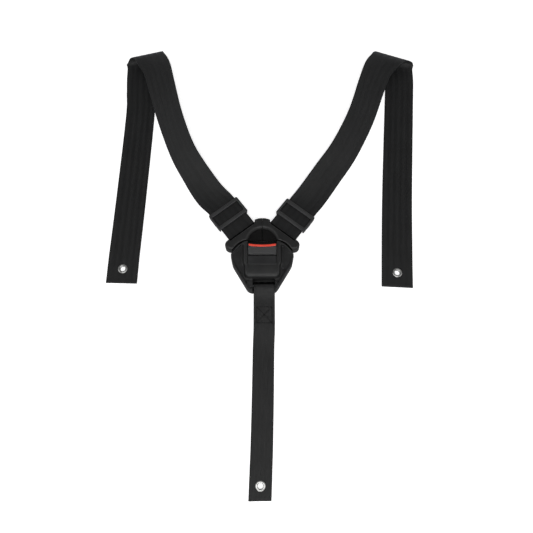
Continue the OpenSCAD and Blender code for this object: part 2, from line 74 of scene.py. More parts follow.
crown_r, crown_top_r, crown_fall = 6.5, 4.6, 0.9
flank_dish, dimple, dimple_r = 2.8, (24.8, -15.9), 1.9
groove_y, groove_hw, button_brow = 0.1, 0.6, 1.2
lobe, dome = (38.8, 13.8, 6.3), (0.0, 25.3, 23.0)
pin_angle, pin_r, pin_z, pin_reach = math.radians(37.5), 2.0, 12.0, 22.4
pin_x = lobe[0] - pin_reach * math.cos(pin_angle)
pin_y = lobe[1] + pin_reach * math.sin(pin_angle)
pocket_hw = shoulder_w / 2 + 0.8
tongue_low_z, tongue_top_z, tongue_gap, seam = 4.5, 20.0, 0.8, 0.03
lap, lap_top_z, jaw_y, mouth_flare = 3.0, 7.4, 3.6, 34
glide_w, glide_l, left_glide_at, right_glide_at = 42.6, 23.5, 34.5, 32.0
glide_side, glide_bar, glide_middle = 1.9, 4.6, 5.4
eyelet_r, eyelet_flange_r, barrel_t, washer_t = 3.0, 5.7, 0.6, 0.6
hole_r = eyelet_r + barrel_t + 0.15
box_hw, box_hl, box_tilt = (crotch_w - 7) / 2, 9.5, math.radians(6.5)
stitch_length, thread_r, stitch_lift = 2.6, 0.3, 0.22
wrap_r = pin_r + web_t / 2 + 0.2
bar_wrap_r = bar_r + web_t / 2 + 0.2
lay = web_t / 2 + 0.08
flash_r, flash_w = 100.0, 2.7
# How far a vertex stands out from its neighbours, as a slope, where the lighter edge tone of wear and painted
# highlight begins and where it is full
wear_from, wear_full = 0.04, 0.16

# ---------------------------------------------------------------- node materials


class Shader:
    """A node material: add() makes a node, its inputs being numbers, colours or other nodes' outputs."""

    def __init__(self, name):
        self.mat = bpy.data.materials.new(name)
        self.mat.use_nodes = True
        self.tree = self.mat.node_tree
        self.tree.nodes.clear()
        self.out = self.tree.nodes.new("ShaderNodeOutputMaterial")
        self.bsdf = self.tree.nodes.new("ShaderNodeBsdfPrincipled")
        self.tree.links.new(self.bsdf.outputs[0], self.out.inputs["Surface"])

    def add(self, kind, inputs=None, **props):
        n = self.tree.nodes.new("ShaderNode" + kind)
        for key, value in props.items():
            setattr(n, key, value)
        for key, value in (inputs or {}).items():
            self.put(n.inputs[key], value)
        return n

    def put(self, socket, value):
        if isinstance(value, bpy.types.NodeSocket):
            self.tree.links.new(value, socket)
        elif isinstance(value, bpy.types.Node):
            self.tree.links.new(value.outputs[0], socket)
        else:
            socket.default_value = value

    def math(self, operation, a, b=0.0):
        return self.add("Math", {0: a, 1: b}, operation=operation).outputs[0]

    def mix(self, factor, a, b):
        n = self.add("Mix", data_type="RGBA")
        self.put(n.inputs["Factor"], factor)
        self.put(n.inputs[6], a)
        self.put(n.inputs[7], b)
        return n.outputs[2]

    def ranged(self, value, a, b, low, high):
        return self.add("MapRange", {0: value, 1: a, 2: b, 3: low, 4: high}).outputs[0]

    def noise(self, vector, scale, detail=2.0, rough=0.5):
        return self.add("TexNoise", {"Vector": vector, "Scale": scale, "Detail": detail,
                                     "Roughness": rough}).outputs[0]

    def surface(self, **sockets):
        for key, value in sockets.items():
            self.put(self.bsdf.inputs[key.replace("_", " ")], value)

    def bump(self, height, distance, strength):
        n = self.add("Bump", {"Height": height, "Distance": distance, "Strength": strength})
        self.put(self.bsdf.inputs["Normal"], n.outputs[0])


def grey(v, tint=(1.0, 1.0, 1.0)):
    return (v * tint[0], v * tint[1], v * tint[2], 1.0)


def moulded(name, base, worn_and_highlit, rough, grain=1900.0, depth=0.00006, specular=0.5):
    """Moulded plastic: spark-eroded grain, faint flow marks, and edges smoother and lighter: rubbed wear, and
    where the edge tone is set light, a painted highlight.
    """
    s = Shader(name)
    where = s.add("TexCoord").outputs["Object"]
    grains = s.noise(where, grain, 3.0, 0.6)
    flow = s.noise(where, 60.0, 3.0, 0.55)
    specks = s.noise(where, 420.0, 2.0, 0.7)
    wear_and_highlight = s.add("Attribute", attribute_name="wear_and_highlight", attribute_type="GEOMETRY").outputs["Fac"]
    rubbed_and_highlit = s.math("MULTIPLY", wear_and_highlight, s.ranged(specks, 0.35, 0.62, 0.25, 1.0))
    tone = s.mix(s.ranged(flow, 0.35, 0.65, 0.0, 1.0), base, [v * 1.35 for v in base[:3]] + [1.0])
    tone = s.mix(rubbed_and_highlit, tone, worn_and_highlit)
    s.surface(Base_Color=tone, Specular_IOR_Level=specular)
    uneven = s.math("ADD", grains, s.math("MULTIPLY", flow, 0.6))
    matt = s.ranged(uneven, 0.55, 1.05, rough - 0.07, rough + 0.09)
    s.surface(Roughness=s.math("SUBTRACT", matt, s.math("MULTIPLY", rubbed_and_highlit, 0.14)))
    s.bump(grains, depth, 0.55)
    return s.mat


def woven(name, base, light, rough, width, sheen=0.08, specular=0.28):
    """Flat webbing: herringbone twill over lengthwise yarns, soft lengthwise bands, sealed ends."""
    s = Shader(name)
    uv = s.add("UVMap", uv_map="web")
    parts = s.add("SeparateXYZ", {0: uv.outputs[0]})
    across, along = parts.outputs[0], parts.outputs[1]
    ends = s.add("SeparateXYZ", {0: s.add("UVMap", uv_map="ends").outputs[0]}).outputs[0]
    tau = 2 * math.pi
    panel = width / 5
    fold = s.math("PINGPONG", s.math("ADD", across, 1.0), panel)
    twill = s.math("SINE", s.math("MULTIPLY", s.math("ADD", along, fold), tau / 0.00125))
    yarn = s.math("SINE", s.math("MULTIPLY", across, tau / 0.00076))
    weave = s.math("MULTIPLY", s.math("ADD", twill, s.math("MULTIPLY", yarn, 0.55)), 0.5)
    band = s.math("COSINE", s.math("MULTIPLY", across, tau / panel))
    where = s.add("TexCoord").outputs["Object"]
    cloudy = s.noise(where, 38.0, 3.0, 0.6)
    stretched = s.add("Mapping", {"Vector": uv.outputs[0], "Scale": (900.0, 26.0, 1.0)})
    streak = s.noise(stretched.outputs[0], 1.0, 3.0, 0.65)
    fibre = s.noise(where, 5200.0, 2.0, 0.6)
    value = s.math("ADD", s.math("MULTIPLY", weave, 0.16), s.math("MULTIPLY", band, 0.12))
    value = s.math("ADD", value, s.ranged(streak, 0.3, 0.7, -0.22, 0.22))
    value = s.math("ADD", value, s.ranged(cloudy, 0.3, 0.7, -0.12, 0.12))
    tone = s.mix(s.ranged(value, -0.5, 0.5, 0.0, 1.0), base, light)
    sealed = s.ranged(ends, 0.0006, 0.0016, 1.0, 0.0)
    s.surface(Base_Color=s.mix(sealed, tone, [v * 0.5 for v in base[:3]] + [1.0]),
              Sheen_Weight=sheen, Sheen_Roughness=0.42, Sheen_Tint=(0.8, 0.85, 1.0, 1.0),
              Specular_IOR_Level=specular)
    uneven = s.math("ADD", s.math("MULTIPLY", band, 0.35), streak)
    dull = s.ranged(uneven, 0.2, 0.9, rough - 0.06, rough + 0.08)
    s.surface(Roughness=s.math("SUBTRACT", dull, s.math("MULTIPLY", sealed, 0.2)))
    relief = s.math("ADD", weave, s.math("MULTIPLY", fibre, 0.5))
    s.bump(s.math("MULTIPLY", relief, s.math("SUBTRACT", 1.0, sealed)), 0.00009, 0.6)
    return s.mat


def metal(name, base, rough, scratch=900.0):
    """Plated or spring steel: fine handling scratches and slightly uneven gloss."""
    s = Shader(name)
    where = s.add("TexCoord").outputs["Object"]
    stretched = s.add("Mapping", {"Vector": where, "Scale": (1.0, 6.0, 6.0), "Rotation": (0.0, 0.3, 0.5)})
    lines = s.noise(stretched.outputs[0], scratch, 4.0, 0.7)
    patch = s.noise(where, 130.0, 2.0, 0.5)
    dark = [v * 0.8 for v in base[:3]] + [1.0]
    s.surface(Base_Color=s.mix(s.ranged(patch, 0.35, 0.65, 0.0, 1.0), base, dark), Metallic=1.0,
              Roughness=s.ranged(s.math("ADD", lines, patch), 0.6, 1.4, rough - 0.06, rough + 0.12))
    s.bump(lines, 0.00002, 0.35)
    return s.mat


def stitched(name, base):
    """Twisted polyester thread."""
    s = Shader(name)
    where = s.add("TexCoord").outputs["Object"]
    wave = s.add("TexWave", {"Vector": where, "Scale": 900.0, "Distortion": 1.5, "Detail": 2.0},
                 wave_type="BANDS", bands_direction="DIAGONAL")
    light = [min(1.0, v * 2.4) for v in base[:3]] + [1.0]
    s.surface(Base_Color=s.mix(s.math("MULTIPLY", wave.outputs["Fac"], 0.6), base, light),
              Roughness=s.ranged(s.noise(where, 800.0), 0.3, 0.7, 0.42, 0.58),
              Sheen_Weight=0.03, Specular_IOR_Level=0.12)
    s.bump(wave.outputs["Fac"], 0.00008, 0.7)
    return s.mat


shell_black = moulded("moulded_black", grey(0.0145, (1, 1.02, 1.03)), grey(0.024), 0.42, specular=0.3)
# The tongues' edge tone is set light: rubbed wear, and a painted highlight along the arch's inner rim
tongue_black = moulded("tongue_black", grey(0.0115, (1, 1.02, 1.03)), grey(0.075), 0.40, specular=0.32)
button_black = moulded("button_black", grey(0.018, (1, 1.02, 1.06)), grey(0.03), 0.36, 2300.0, 0.00004, 0.35)
# Painted shade: a near-black, dull material for the thumb recess, the button's cross groove and the tongues'
# gap walls
painted_shade_black = moulded("painted_shade_black", grey(0.004), grey(0.006), 0.6, 900.0, 0.00003, 0.12)
glide_black = moulded("adjuster_black", grey(0.024, (1, 1.01, 1.04)), grey(0.055), 0.44, specular=0.4)
inner_black = moulded("ejector_black", grey(0.02), grey(0.05), 0.5)
strip_red = moulded("strip_red", (0.72, 0.045, 0.022, 1), (0.85, 0.13, 0.08, 1), 0.36, 1500.0, 0.00003)
shoulder_web = woven("shoulder_webbing", grey(0.0035, (1, 1.02, 1.06)), grey(0.013, (1, 1.02, 1.04)), 0.5,
                     shoulder_w * MM)
crotch_web = woven("crotch_webbing", grey(0.0038, (1, 1.02, 1.05)), grey(0.013, (1, 1.02, 1.03)), 0.5,
                   crotch_w * MM)
# Painted shade: near-black, dull webbing put where the plastic shades a strap
painted_shade_web = woven("webbing_painted_shade", grey(0.001), grey(0.003), 0.7, shoulder_w * MM, 0.0, 0.04)
nickel = metal("bright_nickel", (0.46, 0.46, 0.45, 1), 0.26)
zinc = metal("zinc_plated", (0.62, 0.63, 0.64, 1), 0.34)
spring_steel = metal("spring_steel", (0.45, 0.46, 0.48, 1), 0.3, 1500.0)
black_steel = metal("blackened_steel", (0.06, 0.06, 0.065, 1), 0.38)
black_thread = stitched("black_thread", grey(0.002))

# ---------------------------------------------------------------- solids sampled as distance fields


def sample(low, high, step):
    """Coordinates of a regular grid, ready to combine: x, y and z arrays of one axis each."""
    axes = [np.arange(low[i] - 2.3 * step, high[i] + 2.7 * step, step) for i in range(3)]
    return axes[0][:, None, None], axes[1][None, :, None], axes[2][None, None, :]


def both(a, b, k=0.0):
    """Where two solids overlap, with the edge between them rounded."""
    top = np.maximum(a, b)
    if k == 0:
        return top
    h = np.maximum(k - np.abs(a - b), 0) / k
    return top + h * h * k / 4


def either(a, b, k=0.0):
    """Two solids together, with the corner between them filleted."""
    return -both(-a, -b, k)


def without(a, b, k=0.0):
    return both(a, -b, k)


def disc(x, y, cx, cy, r):
    return np.sqrt((x - cx) ** 2 + (y - cy) ** 2) - r


def slab(v, low, high):
    return np.abs(v - (low + high) / 2) - (high - low) / 2


def box2(x, y, cx, cy, hw, hl, r):
    """Rectangle with round corners."""
    qx, qy = np.abs(x - cx) - hw + r, np.abs(y - cy) - hl + r
    outside = np.sqrt(np.maximum(qx, 0) ** 2 + np.maximum(qy, 0) ** 2)
    return outside + np.minimum(np.maximum(qx, qy), 0) - r


def outline(x, y, points):
    """Signed distance to a closed outline."""
    near = np.full(np.broadcast(x, y).shape, 1e9)
    sign = np.ones(near.shape)
    for (ax, ay), (bx, by) in zip(points, points[1:] + points[:1]):
        ex, ey, wx, wy = ax - bx, ay - by, x - bx, y - by
        t = np.clip((wx * ex + wy * ey) / (ex * ex + ey * ey), 0, 1)
        near = np.minimum(near, (wx - ex * t) ** 2 + (wy - ey * t) ** 2)
        up, down, side = y >= by, y < ay, ex * wy > ey * wx
        sign = np.where((up & down & side) | (~up & ~down & ~side), -sign, sign)
    return sign * np.sqrt(near)


def hull(circles, steps=72):
    """Convex outline round some circles."""
    angles = [i * math.tau / steps for i in range(steps)]
    points = sorted({(round(cx + r * math.cos(a), 6), round(cy + r * math.sin(a), 6))
                     for cx, cy, r in circles for a in angles})
    chain = []
    for run in (points, points[::-1]):
        part = []
        for p in run:
            while len(part) > 1 and ((part[-1][0] - part[-2][0]) * (p[1] - part[-2][1])
                                     <= (part[-1][1] - part[-2][1]) * (p[0] - part[-2][0])):
                part.pop()
            part.append(p)
        chain += part[:-1]
    return chain


def mirrored_pair(circle):
    return [circle, (-circle[0], circle[1], circle[2])]


shield_line = hull(mirrored_pair(brow) + mirrored_pair(cheek) + mirrored_pair(chin))


def surface_net(field, x, y, z):
    """Quads along the zero surface of a sampled field, facing outward."""
    inside = field < 0
    corners = [(a, b, c) for a in (0, 1) for b in (0, 1) for c in (0, 1)]
    n = [v - 1 for v in field.shape]
    count = sum(inside[a:a + n[0], b:b + n[1], c:c + n[2]].astype(np.int8) for a, b, c in corners)
    cell = (count > 0) & (count < 8)
    index = np.full(cell.shape, -1)
    index[cell] = np.arange(cell.sum())
    at = np.argwhere(cell)
    total, hits = np.zeros((len(at), 3)), np.zeros(len(at))
    for a in corners:
        for axis in range(3):
            if a[axis]:
                continue
            b = list(a)
            b[axis] = 1
            fa = field[tuple((at + a).T)]
            fb = field[tuple((at + b).T)]
            crossed = (fa < 0) != (fb < 0)
            t = np.where(crossed, fa / np.where(crossed, fa - fb, 1), 0)
            spot = np.array(a, float) + t[:, None] * (np.array(b) - np.array(a))
            total += spot * crossed[:, None]
            hits += crossed
    step = float(x[1, 0, 0] - x[0, 0, 0])
    points = (at + total / hits[:, None]) * step + [float(x[0, 0, 0]), float(y[0, 0, 0]), float(z[0, 0, 0])]
    faces = []
    for axis in range(3):
        order = (axis, (axis + 1) % 3, (axis + 2) % 3)
        s, g = np.transpose(inside, order), np.transpose(index, order)
        p, q, r = np.nonzero(s[:-1, 1:-1, 1:-1] != s[1:, 1:-1, 1:-1])
        quad = np.stack([g[p, q, r], g[p, q + 1, r], g[p, q + 1, r + 1], g[p, q, r + 1]], 1)
        out = s[p, q + 1, r + 1]
        faces.append(np.where(out[:, None], quad, quad[:, ::-1]))
    return points, np.concatenate(faces)


def relax(points, faces):
    """Smooths out the grid's small steps: twice in, and out again to keep the size."""
    edges = np.unique(np.sort(np.concatenate([faces[:, [i, (i + 1) % 4]] for i in range(4)]), 1), axis=0)
    degree = np.bincount(edges.ravel(), minlength=len(points))[:, None]
    for i in range(2):
        for amount in (0.5, -0.52):
            total = np.zeros_like(points)
            for k in range(3):
                total[:, k] = (np.bincount(edges[:, 0], points[edges[:, 1], k], len(points))
                               + np.bincount(edges[:, 1], points[edges[:, 0], k], len(points)))
            points = points + amount * (total / degree - points)
    return points


def make(name, points, faces, material, body, replaced):
    """A mesh piece from millimetre points, riding on a CAD body in place of CAD nodes."""
    mesh = bpy.data.meshes.new(name)
    mesh.from_pydata((points * MM).tolist(), [], faces)
    mesh.validate()
    obj = bpy.data.objects.new(name, mesh)
    bpy.context.scene.collection.objects.link(obj)
    mesh.materials.append(material)
    mesh.polygons.foreach_set("use_smooth", [True] * len(mesh.polygons))
    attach(obj, body)
    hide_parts(*replaced)
    return obj


def mark_wear_and_highlight(obj):
    """Stores how sharply each vertex stands out, which its material makes lighter: rubbed wear, and on the
    tongues also a painted highlight.
    The button's foot, flush with the cover, and the tongues' seam are left unrubbed."""
    mesh = obj.data
    n = len(mesh.vertices)
    co, normal = np.empty(n * 3), np.empty(n * 3)
    mesh.vertices.foreach_get("co", co)
    mesh.vertices.foreach_get("normal", normal)
    co, normal = co.reshape(-1, 3), normal.reshape(-1, 3)
    edges = np.empty(len(mesh.edges) * 2, int)
    mesh.edges.foreach_get("vertices", edges)
    edges = edges.reshape(-1, 2)
    degree = np.maximum(np.bincount(edges.ravel(), minlength=n), 1)
    bend = np.zeros(n)
    length = np.linalg.norm(co[edges[:, 0]] - co[edges[:, 1]], axis=1)
    for a, b in ((0, 1), (1, 0)):
        rise = ((co[edges[:, a]] - co[edges[:, b]]) * normal[edges[:, a]]).sum(1) / np.maximum(length, 1e-9)
        bend += np.bincount(edges[:, a], rise, n)
    bend /= degree
    for i in range(2):
        bend = 0.5 * bend + 0.5 * (np.bincount(edges[:, 0], bend[edges[:, 1]], n)
                                   + np.bincount(edges[:, 1], bend[edges[:, 0]], n)) / degree
    value = np.clip((bend - wear_from) / (wear_full - wear_from), 0, 1)
    foot = (np.abs(co[:, 1] / MM - button_foot_y) < 1.6) & (np.abs(co[:, 0] / MM) < button_hw - 1)
    value[foot | (np.abs(co[:, 0] / MM) < 0.9)] = 0
    mesh.attributes.new("wear_and_highlight", "FLOAT", "POINT").data.foreach_set("value", value.astype(np.float32))


def paint_recess_shade(obj):
    """Painted shade: the thumb recess gets a near-black, dull material, unlike the grained faces round it."""
    mesh = obj.data
    mesh.materials.append(painted_shade_black)
    for face in mesh.polygons:
        x, y, z = face.center / MM
        inside = math.hypot(x, y - recess_y) < recess_r + 0.5
        if inside and z < recess_z + 3.5 and face.normal.z > -0.2:
            face.material_index = 1


def paint_gap_shade(obj):
    """Painted shade: the wall that a tongue turns to the buckle, inside the gap between them, gets the same
    near-black, dull material.
    """
    mesh = obj.data
    at = np.empty(len(mesh.polygons) * 3)
    mesh.polygons.foreach_get("center", at)
    x, y, z = at.reshape(-1, 3).T / MM
    near = outline(x[:, None], y[:, None], shield_line)[:, 0]
    for i in np.flatnonzero((near < tongue_gap + 0.3) & (z < tongue_top_z - 1.2)):
        mesh.polygons[int(i)].material_index = 1


def mirror_x(points, faces):
    return points * [-1, 1, 1], faces[:, ::-1]


def moulding(name, field, grid, material, body, replaced, flip=False):
    """A moulded piece from its sampled field, with its edges marked for wear and painted highlight."""
    points, faces = surface_net(field, *grid)
    points = relax(points, faces)
    if flip:
        points, faces = mirror_x(points, faces)
    obj = make(name, points, faces.tolist(), material, body, replaced)
    mark_wear_and_highlight(obj)
    return obj


# ---------------------------------------------------------------- buckle covers


def posts(x, y, r):
    """Screw posts, an upper and a lower pair."""
    return np.minimum(disc(np.abs(x), y, *upper_screw, r), disc(np.abs(x), y, *lower_screw, r))


def span(x, y, x0, x1, y0, y1, r):
    """Rectangle between two corners."""
    return box2(x, y, (x0 + x1) / 2, (y0 + y1) / 2, (x1 - x0) / 2, (y1 - y0) / 2, r)


def bar_lugs(x, y):
    """Lugs on both sides of the crotch webbing, round the ends of its bar."""
    return np.minimum(span(x, y, -bar_hw - 0.4, bay_from_x, bar_y - 4, bar_y + 4.5, 0.6),
                      span(x, y, bay_to_x, bay_to_x + 3, bar_y - 4, bar_y + 4.5, 0.6))


def bar_hole(y, z, r):
    return disc(y, z, bar_y, bar_z, r)


def rear_cover():
    x, y, z = grid = sample((-39, -44, 0), (39, 20, 13.5), 0.5)
    edge = outline(x[:, :, 0], y[:, :, 0], shield_line)[:, :, None]
    # The tub's edges are rounded at the back, and its wall thickens into the floor
    body = both(edge, slab(z, 0, part_z + 3), 1.4)
    body = both(body, z - part_z)
    tub = both(edge + wall, wall - z, 1.6)
    body = without(body, tub)
    body = either(body, both(posts(x, y, 3.0), slab(z, 1, part_z)), 0.6)
    leaf_posts = both(disc(np.abs(x), y, rivet_x, rivet_y, 2.4), slab(z, 1, 8))
    stop = both(box2(x, y, 0, -23.2, 12, 1.2, 0.5), slab(z, 1, 13.0))
    guides = both(box2(np.abs(x), y, 15.9, -10, 0.8, 6, 0.3), slab(z, 1, 9.8))
    lugs = both(bar_lugs(x, y), slab(z, 0.6, part_z))
    for part in (leaf_posts, stop, guides, lugs):
        body = either(body, part)
    bay = both(span(x, y, bay_from_x, bay_to_x, bar_y - 12, bar_y + 6.2, 0.6), wall - z)
    body = without(body, bay, 0.4)
    body = without(body, bar_hole(y, z, bar_r + 0.04) + 0 * x)
    body = without(body, posts(x, y, screw_r) + 0 * z)
    body = without(body, both(posts(x, y, 2.8), z - 2.0), 0.3)
    body = without(body, both(disc(np.abs(x), y, rivet_x, rivet_y, 1.02), slab(z, 4, 12)))
    # Shallow moulded panel and ribs on the back face
    panel = both(outline(x[:, :, 0], y[:, :, 0], shield_line)[:, :, None] + 7.0, z - 0.5)
    ribs = np.abs(np.mod(y + 60.0, 4.0) - 2.0) - 0.8
    body = without(body, both(both(panel, ribs + 0 * x), np.abs(x) - 12.0), 0.25)
    return moulding("buckle_rear_shell", body, grid, shell_black, "buckle", ["rear_cover"])


def front_cover():
    x, y, z = grid = sample((-39, -44, 8.5), (39, 20, 21), 0.45)
    edge = outline(x[:, :, 0], y[:, :, 0], shield_line)[:, :, None]
    # Flanks dished between the raised middle and the rim
    hollow = np.clip((np.abs(x) - 21) / 14, 0, 1)
    floor_z = flank_z - flank_dish + flank_dish * hollow ** 1.5
    flank = both(edge, z - floor_z, 1.2)
    rim = both(both(edge + 0.25, -(edge + 2.6), 0.8), z - flank_z - 1.4, 1.3)
    rim = both(rim, edge, 1.0)
    body = either(flank, rim, 1.1)
    # Raised middle with round bottom corners and soft sides, a little narrower towards the foot
    crown_hw = button_hw + button_gap + rail_w
    taper = 1 - np.clip((-y - 8) / 60, 0, 0.08)
    middle = box2(x / taper, y, 0, crown_foot_y + 40, crown_hw, 40, crown_r)
    top = crown_z - crown_fall * np.clip((-y - 15) / 12, 0, 1) ** 2
    crown = both(middle, z - top, crown_top_r)
    crown = both(crown, edge + 0.8, 1.5)
    body = either(body, crown, 3.0)
    body = both(body, part_z - z)
    under = both(edge + wall, z - flank_z + wall + 2.4)
    body = without(body, under)
    core = both(box2(x, y, 0, crown_foot_y + wall + 17, button_hw, 15, 1), z - crown_z + wall + 0.6)
    body = without(body, core)
    body = either(body, both(posts(x, y, 2.8), slab(z, part_z, flank_z - 3.4)))
    lugs = both(bar_lugs(x, y), slab(z, part_z, flank_z), 0.8)
    body = either(body, lugs, 0.8)
    arc = disc(x, y, 0, button_top_y + flash_r, flash_r)
    opening = both(box2(x, y, 0, button_foot_y + 19.55, button_hw + button_gap, 20, 2.4), button_gap - arc)
    body = without(body, opening + 0 * z)
    body = without(body, both(disc(x, y, 0, recess_y, recess_r), recess_z - z, 1.2), 1.2)
    mouth = both(box2(x, y, 0, 20, mouth_hw, 10, 0.3), z - plate_z - plate_t - fit)
    body = without(body, mouth)
    bay = span(x, y, bay_from_x, bay_to_x, bar_y - 12, bar_y + 7.5, 1.2)
    body = without(body, bay + 0 * z, 1.0)
    body = without(body, bar_hole(y, z, bar_r + 0.04) + 0 * x)
    ears = both(disc(y, z, pivot_y, pivot_z, pivot_r + 0.06), np.abs(x) - button_hw - 2.4)
    body = without(body, ears)
    body = without(body, both(posts(x, y, screw_r), z - part_z - 5))
    # Small round dimple in the right flank
    ball = np.sqrt((x - dimple[0]) ** 2 + (y - dimple[1]) ** 2 + (z - flank_z + 1.6) ** 2) - dimple_r
    body = without(body, ball, 0.3)
    obj = moulding("buckle_front_shell", body, grid, shell_black, "buckle", ["front_cover"])
    paint_recess_shade(obj)


def button():
    x, y, z = grid = sample((-20, -12, 8), (20, 17, 22), 0.4)
    arc = disc(x, y, 0, button_top_y + flash_r, flash_r)
    brow_z = crown_z + button_brow
    side = [(18, button_under_z), (18, brow_z), (11, brow_z), (0.8, crown_z - 0.75),
            (button_foot_y - 0.8, crown_z), (button_foot_y - 0.8, crown_z - 0.9),
            (button_foot_y - 0.4, crown_z - 0.9), (button_foot_y - 0.4, pivot_z - 2),
            (pivot_y + 2.5, pivot_z - 2), (pivot_y + 5, button_under_z)]
    profile = outline(y[0], z[0], side)[None]
    body = both(profile, np.abs(x) - button_hw, 0.5)
    body = both(body, box2(x, y, 0, button_foot_y + 19.2, button_hw, 20, 2.2))
    body = both(body, -arc, 1.6)
    # Cross groove below the sloped thumb face
    groove = both(np.abs(y - groove_y) - groove_hw, crown_z - 3.2 - z) + 0 * x
    body = without(body, groove, 0.1)
    # Grip of shallow cross lines on the thumb face
    lines = np.abs(np.mod(y - 1.6, 2.1) - 1.05) - 0.3
    face_z = brow_z - (button_top_y - 3 - y) * 1.95 / 10.2
    grip = both(both(lines, slab(y, 2.2, 9.4)), face_z - 0.16 - z)
    body = without(body, both(grip, np.abs(x) - button_hw + 2.4), 0.2)
    bed = both(both(0.5 - arc, arc - 0.5 - flash_w), crown_z - 1 - z)
    body = without(body, both(bed, np.abs(x) - button_hw + 0.75))
    foot = both(box2(x, y, 0, 5, 3, 2, 0.4), slab(z, 8.8, button_under_z + 0.5))
    axle = both(disc(y, z, pivot_y, pivot_z, pivot_r), np.abs(x) - button_hw - 2)
    body = either(either(body, foot), axle)
    obj = moulding("press_button", body, grid, button_black, "release_button",
                   ["release_button"])
    # Painted shade: the cross groove's faces get the near-black, dull material
    obj.data.materials.append(painted_shade_black)
    for face in obj.data.polygons:
        x, y, z = face.center / MM
        if abs(y - groove_y) < groove_hw + 0.2 and button_under_z < z < crown_z - 1.35:
            face.material_index = 1


def red_strip():
    x, y, z = grid = sample((-17, 8, 19), (17, 17, 22), 0.25)
    arc = disc(x, y, 0, button_top_y + flash_r, flash_r)
    body = both(0.55 - arc, arc - 0.45 - flash_w, 0.3)
    body = both(body, np.abs(x) - button_hw + 0.85, 0.5)
    crest = crown_z + 1.42 - 0.03 * (arc - 1.5) ** 2
    body = both(both(body, z - crest, 0.6), crown_z - 0.98 - z)
    return moulding("button_strip", body, grid, strip_red, "release_button", ["button_flash"])


# ---------------------------------------------------------------- tongues


def pin_frame(x, y):
    """Coordinates along the right webbing pin and along its webbing."""
    dx, dy = x - pin_x, y - pin_y
    c, s = math.cos(pin_angle), math.sin(pin_angle)
    return c * dx - s * dy, s * dx + c * dy


def tongue_field(x, y, z, upper, tab):
    """Front (upper) or back shell of a tongue, as on the right; the left one's back has a tab."""
    a, b = pin_frame(x, y)
    line = outline(x[:, :, 0], y[:, :, 0], hull([lobe, dome], 120))[:, :, None]
    gap = outline(x[:, :, 0], y[:, :, 0], shield_line)[:, :, None] - tongue_gap
    split = plate_z + plate_t
    rounded = 3.2 if upper else 1.2
    body = both(line, z - tongue_top_z if upper else tongue_low_z - z, rounded)
    body = both(body, -gap, 1.0)
    body = both(body, split - z if upper else z - split)
    body = both(body, seam - x, 0.35)
    # Bevel beside the webbing at the top of the arch
    ear = (x - 8.7) * 0.70 + (y - 47.6) * 0.714
    body = without(body, both(-ear, x - 11.5) + 0 * z, 0.9)
    half = wrap_r + web_t / 2 + 0.35
    zc = z - pin_z
    pocket = both(both(-b, np.abs(zc) - half), np.abs(a) - pocket_hw)
    tube = both(disc(b, zc, 0, 0, half), np.abs(a) - pocket_hw)
    # Pocket for the webbing's wrap, flared where the webbing comes out
    tilt = math.radians(mouth_flare)
    fb, fz = b * math.cos(tilt) + zc * math.sin(tilt), zc * math.cos(tilt) - b * math.sin(tilt)
    flare = both(both(-fb, slab(fz, 1 - half, half)), np.abs(a) - pocket_hw)
    body = without(body, np.minimum(np.minimum(pocket, tube), flare), 0.5)
    if upper:
        bevel = (disc(x, y, 0, recess_y, recess_r) - (z - tongue_top_z + 3.4) * 0.75) * 0.8
        scoop = np.minimum(disc(x, y, 0, recess_y, recess_r) + 0 * z, bevel)
        body = without(body, both(scoop, recess_z - z, 1.0), 1.2)
        body = without(body, both(both(jaw_y - b, -zc), np.abs(a) - pocket_hw), 1.0)
    else:
        # Half lap: the left tongue's tab lies in a rebate behind the right one
        ring = both(line + 0.2, tongue_gap + brow[2] + brow[1] + 0.4 - y)
        if tab:
            wing = both(ring, slab(x, -lap, 1))
            body = either(body, both(wing, slab(z, tongue_low_z, lap_top_z), 0.4))
        else:
            body = without(body, both(slab(x, -1, lap + fit), z - lap_top_z - fit))
        body = without(body, both(box2(x, y, 0, 17, mouth_hw + 0.1, 17, 0.2), plate_z - z))
    return without(body, both(disc(b, zc, 0, 0, pin_r + 0.02), a - pin_reach - 0.8))


def tongues():
    upper_box, lower_box = ((0, 4, 12), (46, 49, 20.3)), ((-3.2, 4, 4.3), (46, 49, 12.4))
    for side in ("left", "right"):
        for upper, kind, extent in ((True, "shell", upper_box), (False, "back", lower_box)):
            grid = sample(*extent, 0.45)
            field = tongue_field(*grid, upper, side == "left")
            obj = moulding(f"{side}_tongue_{'face' if upper else 'rear'}", field, grid, tongue_black,
                           f"{side}_tongue", [f"{side}_tongue_{kind}"], side == "left")
            if upper:
                paint_recess_shade(obj)
                paint_gap_shade(obj)


# ---------------------------------------------------------------- adjusters


